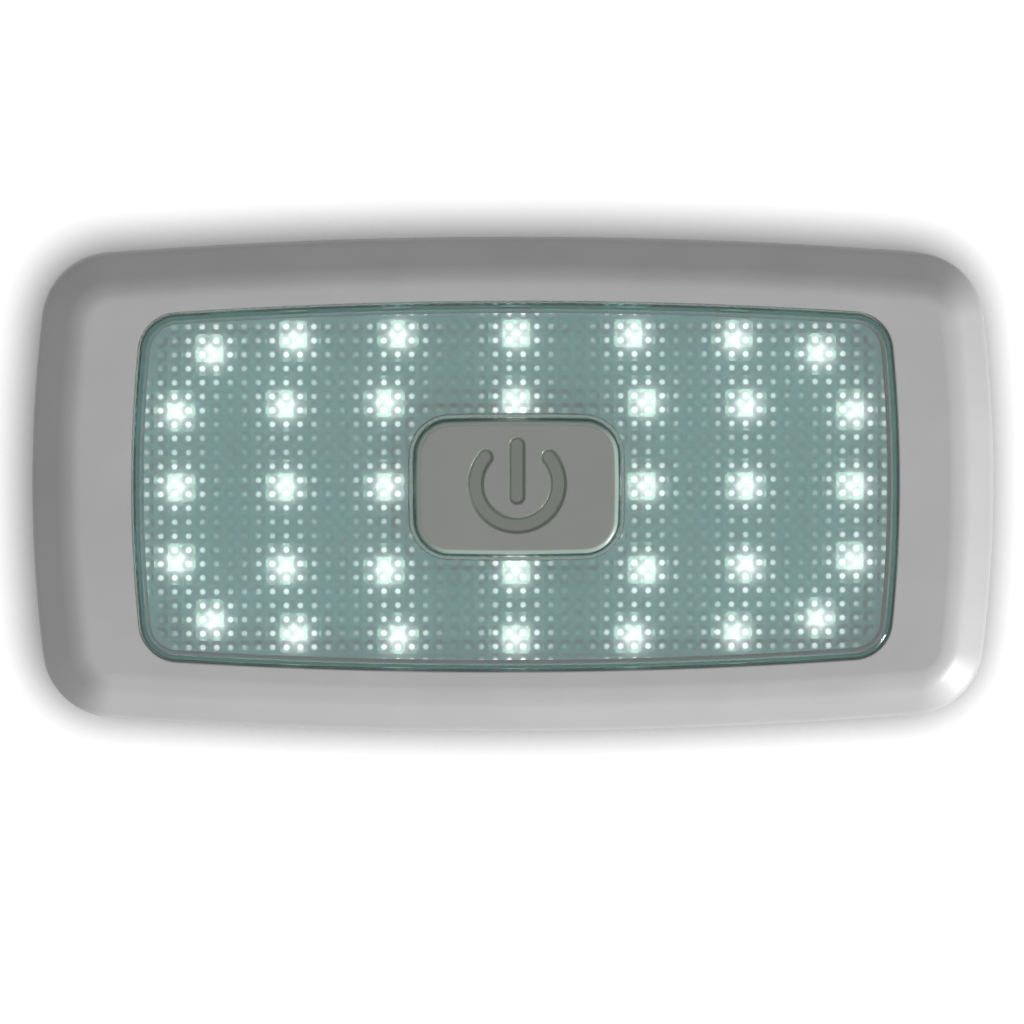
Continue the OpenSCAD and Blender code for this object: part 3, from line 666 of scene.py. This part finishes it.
def lens_rings():
    """Rings up the wall, flange and rounded edge of the lens, and then over its collar and down inside."""
    top = LENS_Z + COLLAR_PROUD
    out = -BUTTON_GAP - COLLAR_T
    body = (
        [(LENS_WALL_T, PRISM_Z), (LENS_WALL_T, FLANGE_Z), (-FLANGE_W, FLANGE_Z)]
        + [(-FLANGE_W, FLANGE_Z + FLANGE_T), (0.0, FLANGE_Z + FLANGE_T)]
        + rounding((0.0, 0.0), (0.0, LENS_Z), (2 * LENS_ROUND, LENS_Z), LENS_ROUND, LENS_STEPS)
    )
    collar = (
        [(out - COLLAR_FOOT, LENS_Z)]
        + rounding((out, LENS_Z - 1), (out, top), (-BUTTON_GAP, top), COLLAR_ROUND, COLLAR_STEPS)
        + rounding((out, top), (-BUTTON_GAP, top), (-BUTTON_GAP, COLLAR_Z), COLLAR_ROUND, COLLAR_STEPS)
        + [(-BUTTON_GAP, COLLAR_Z), (out, COLLAR_Z), (out, PRISM_Z)]
    )
    return rings_of(LENS_FORM, body) + rings_of(BUTTON_FORM, collar)


def make_lens():
    """The lens as one shell, with what its material reads at each point, among it the painted glow, halo and
    shine.
    """
    rings = lens_rings()
    per_ring = len(rings[0])
    under_points, under_faces = pillow_mesh(rings[0], rings[-1])
    points = np.concatenate([under_points] + rings[1:-1])
    base = len(under_points)
    starts = [0] + [base + j * per_ring for j in range(len(rings) - 2)] + [per_ring]
    faces = under_faces + band_faces(starts, per_ring)
    glow, halo, prisms = np.zeros((3, len(points)))
    glow[:base], halo[:base] = painted_prism_light(under_points[:, 0], under_points[:, 1])
    prisms[:base] = 1.0
    x, y, z = points.T
    depth = depth_inside(LENS_FORM, x, y)
    # The collar's top and the rounded rim get a painted shine, and the edge value gives it its colour
    collar = z > LENS_Z + COLLAR_PROUD / 2
    rim = (z > FLANGE_Z + FLANGE_T - TOUCH) & (depth > -TOUCH) & (depth < RIM_SHARE * LENS_ROUND)
    halo += PAINTED_COLLAR_SHINE * collar + PAINTED_RIM_SHINE * rim
    make_piece("lens_prismatic", points, faces, "lens", "housing",
               glow=glow, halo=halo, prisms=prisms, edge=(collar | rim).astype(float))


# The button


def symbol_distance(x, y):
    """Distance of points from the middle line of the power symbol's grooves."""
    y = y - SYMBOL_Y
    angle = np.abs(np.arctan2(x, y))
    limit = math.radians(SYMBOL_OPEN)
    on_ring = np.abs(np.hypot(x, y) - SYMBOL_R)
    end = np.hypot(np.abs(x) - SYMBOL_R * math.sin(limit), y - SYMBOL_R * math.cos(limit))
    arc = np.where(angle > limit, on_ring, end)
    half = SYMBOL_BAR_L / 2 - SYMBOL_GROOVE / 2
    bar = np.hypot(x, y - SYMBOL_BAR_Y - np.clip(y - SYMBOL_BAR_Y, -half, half))
    return np.minimum(arc, bar)


def groove_share(x, y):
    """1 on the floor of the symbol's grooves and 0 on the face, with soft edges."""
    outside = symbol_distance(x, y) - SYMBOL_GROOVE / 2
    t = np.clip((outside + GROOVE_SOFT) / (2 * GROOVE_SOFT), 0, 1)
    return 1 - t * t * (3 - 2 * t)


def button_top_z(x, y):
    """Height of the button's face, with the engraved symbol."""
    return BUTTON_Z - SYMBOL_DEPTH * groove_share(x, y)


def bar(half_w, half_h, low_z, high_z):
    """Points and faces of an upright block on the axis."""
    corners = [(-half_w, -half_h), (half_w, -half_h), (half_w, half_h), (-half_w, half_h)]
    points = [(x, y, z) for z in (low_z, high_z) for x, y in corners]
    return np.array(points), band_faces([0, 4], 4) + [(3, 2, 1, 0), (4, 5, 6, 7)]


def rod(radius, low_z, high_z):
    """Points and faces of an upright round bar on the axis."""
    turn = 2 * math.pi * np.arange(ROD_STEPS) / ROD_STEPS
    circle = radius * np.column_stack([np.cos(turn), np.sin(turn)])
    points = np.concatenate([np.column_stack([circle, np.full(ROD_STEPS, z)]) for z in (low_z, high_z)])
    ends = [tuple(range(ROD_STEPS))[::-1], tuple(range(ROD_STEPS, 2 * ROD_STEPS))]
    return points, band_faces([0, ROD_STEPS], ROD_STEPS) + ends


def joined(shells):
    """Several shells as one list of points and one of faces."""
    points, faces = [], []
    for more_points, more_faces in shells:
        start = sum(len(p) for p in points)
        points.append(more_points)
        faces += [tuple(start + k for k in face) for face in more_faces]
    return np.concatenate(points), faces


def make_button():
    """The button as one closed shell with its stop flange, with the cross ribs and the boss under it."""
    under_z = BUTTON_Z - BUTTON_T
    profile = (
        [(SKIRT_T, under_z), (SKIRT_T, STOP_Z), (-STOP_W, STOP_Z)]
        + [(-STOP_W, STOP_Z + STOP_T), (0.0, STOP_Z + STOP_T)]
        + rounding((0.0, 0.0), (0.0, BUTTON_Z), (2 * BUTTON_ROUND, BUTTON_Z), BUTTON_ROUND)
    )
    rings = rings_of(BUTTON_FORM, profile, FINE_BOW_STEPS)
    per_ring = len(rings[0])
    edge = rings[-1][:, :2]
    for k in range(1, INWARD_RINGS):
        xy = edge * (1 - k / INWARD_RINGS)
        rings.append(np.column_stack([xy, button_top_z(xy[:, 0], xy[:, 1])]))
    middle_z = float(button_top_z(np.zeros(1), np.zeros(1))[0])
    points = np.concatenate(rings + [[[0.0, 0.0, middle_z]]])
    middle = len(points) - 1
    last = middle - per_ring
    faces = band_faces(range(0, middle, per_ring), per_ring)
    faces += [(last + (k + 1) % per_ring, last + k, middle) for k in range(per_ring)]
    faces.append(tuple(range(per_ring)))
    rib_z = (under_z - BUTTON_RIB_H, under_z + BUTTON_RIB_H / 4)
    rib_x = bar(BUTTON_FORM[0] - SKIRT_T / 2, BUTTON_RIB_T / 2, *rib_z)
    rib_y = bar(BUTTON_RIB_T / 2, BUTTON_FORM[1] - SKIRT_T / 2, *rib_z)
    boss = rod(BOSS_R, BOSS_Z, rib_z[1])
    points, faces = joined([(points, faces), rib_x, rib_y, boss])
    x, y, z = points.T
    on_face = z > BUTTON_Z - SYMBOL_DEPTH - 10 * TOUCH
    groove = np.where(on_face, groove_share(x, y), 0)
    # Where painted light goes: a pale teal on the sides and rim, and light lines along the grooves' edges
    rim = np.where((z < BUTTON_Z - 2 * TOUCH) & (groove == 0), BUTTON_RIM_PAINTED_LIGHT, groove * (1 - groove))
    make_piece("button_cap", points, faces, "power_button", "button", groove=groove, rim=rim)


# The spring inside the switch


def make_spring():
    """A coil of wire in the place of the switch's spring."""
    low, high = node_box("switch_spring")
    wire_r = SPRING_WIRE / 2
    coil_r = high[0] - wire_r
    steps = SPRING_TURNS * COIL_STEPS
    round_wire = 2 * math.pi * np.arange(WIRE_SIDES) / WIRE_SIDES
    r = coil_r + wire_r * np.cos(round_wire)
    rings = []
    for k in range(steps + 1):
        turn = 2 * math.pi * SPRING_TURNS * k / steps
        z = low[2] + wire_r + (high[2] - low[2] - SPRING_WIRE) * k / steps + wire_r * np.sin(round_wire)
        rings.append(np.column_stack([r * math.cos(turn), r * math.sin(turn), z]))
    starts = range(0, len(rings) * WIRE_SIDES, WIRE_SIDES)
    first_end = tuple(range(WIRE_SIDES))
    last_end = tuple(starts[-1] + k for k in reversed(first_end))
    faces = band_faces(starts, WIRE_SIDES) + [first_end, last_end]
    spring = make_piece("switch_coil", np.concatenate(rings), faces, "switch_spring", "housing")
    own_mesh(spring)


make_bezel()
make_lens()
make_button()
make_spring()


# Floor, light and camera


def seen_rays(tree):
    """1 for the rays that show the background: straight to the camera, in gloss, and through glass."""
    rays = tree.nodes.new("ShaderNodeLightPath")
    seen = rays.outputs["Is Camera Ray"]
    for kind in ("Is Glossy Ray", "Is Transmission Ray"):
        either = tree.nodes.new("ShaderNodeMath")
        either.operation = "MAXIMUM"
        tree.links.new(seen, either.inputs[0])
        tree.links.new(rays.outputs[kind], either.inputs[1])
        seen = either.outputs[0]
    return seen


def floor_material():
    """White floor that takes the lamp's real soft shadow and a painted shadow round it, deepest where the two
    touch.
    """
    m = Nodes("floor_white")
    # Painted shadow: ambient occlusion darkens the floor's colour and its white near the lamp
    near = m.add("ShaderNodeAmbientOcclusion", {"Distance": PAINTED_SHADOW_REACH}, samples=3).outputs["AO"]
    painted_foot_shadow = m.number_math("POWER", near, PAINTED_SHADOW_POWER)
    plain = m.ramp(m.noise(3.0), [(0.0, grey(0.48)), (1.0, grey(0.52))])
    m.set(Base_Color=m.mixed(painted_foot_shadow, grey(0.0), plain), Roughness=0.9, Emission_Color=grey(1.0))
    white = m.number_math("MULTIPLY", seen_rays(m.tree), painted_foot_shadow)
    m.set(Emission_Strength=m.spread(white, 0.0, FLOOR_WHITE))
    return m.material


def make_floor():
    """A plain floor at the height of the mounting face."""
    mesh = bpy.data.meshes.new("floor")
    corners = [(sx * FLOOR_HALF, sy * FLOOR_HALF, 0) for sx, sy in ((-1, -1), (1, -1), (1, 1), (-1, 1))]
    mesh.from_pydata(corners, [], [(0, 1, 2, 3)])
    mesh.materials.append(floor_material())
    floor = bpy.data.objects.new("floor", mesh)
    bpy.context.scene.collection.objects.link(floor)


def make_world():
    """A world that shows white and gives almost no light."""
    world = bpy.data.worlds.new("studio")
    world.use_nodes = True
    bpy.context.scene.world = world
    tree = world.node_tree
    strength = tree.nodes.new("ShaderNodeMapRange")
    strength.inputs["To Min"].default_value = WORLD_LIGHT
    strength.inputs["To Max"].default_value = 1.0
    tree.links.new(seen_rays(tree), strength.inputs["Value"])
    tree.nodes["Background"].inputs["Color"].default_value = grey(1.0)
    tree.links.new(strength.outputs["Result"], tree.nodes["Background"].inputs["Strength"])


def area_light(name, place, width, height, power):
    """A soft light that points at the lamp and stays out of the picture."""
    data = bpy.data.lights.new(name, "AREA")
    data.shape = "RECTANGLE"
    data.size = width
    data.size_y = height
    data.energy = power
    lamp = bpy.data.objects.new(name, data)
    lamp.location = place
    lamp.rotation_euler = (-Vector(place)).to_track_quat("-Z", "Y").to_euler()
    lamp.visible_camera = False
    bpy.context.scene.collection.objects.link(lamp)


def make_camera():
    """Looks down from a little to the upper left, as the photograph does."""
    scale = 2 * LAMP_FORM[0] * MM / LAMP_LENGTH_PX
    data = bpy.data.cameras.new("camera")
    data.sensor_width = SENSOR_MM
    data.lens = SENSOR_MM * CAMERA_DISTANCE / (FRAME_PX * scale)
    camera = bpy.data.objects.new("camera", data)
    turn = Matrix.Rotation(math.radians(-CAMERA_TURN), 4, "Y")
    tilt = Matrix.Rotation(math.radians(-CAMERA_TILT), 4, "X")
    x = (FRAME_PX / 2 - LAMP_MIDDLE_PX[0]) * scale
    y = (LAMP_MIDDLE_PX[1] - FRAME_PX / 2) * scale
    focus = Matrix.Translation((0, 0, FLANK_Z * MM))
    camera.matrix_world = focus @ turn @ tilt @ Matrix.Translation((x, y, CAMERA_DISTANCE))
    bpy.context.scene.collection.objects.link(camera)
    bpy.context.scene.camera = camera


make_floor()
make_world()
area_light("overhead", (0.28, -0.28, 1.9), width=2.3, height=2.3, power=42.6)
area_light("side", (2.65, -1.9, 0.12), width=1.2, height=0.2, power=154.0)
make_camera()
bpy.context.scene.view_settings.view_transform = "Standard"
bpy.context.scene.cycles.use_denoising = True
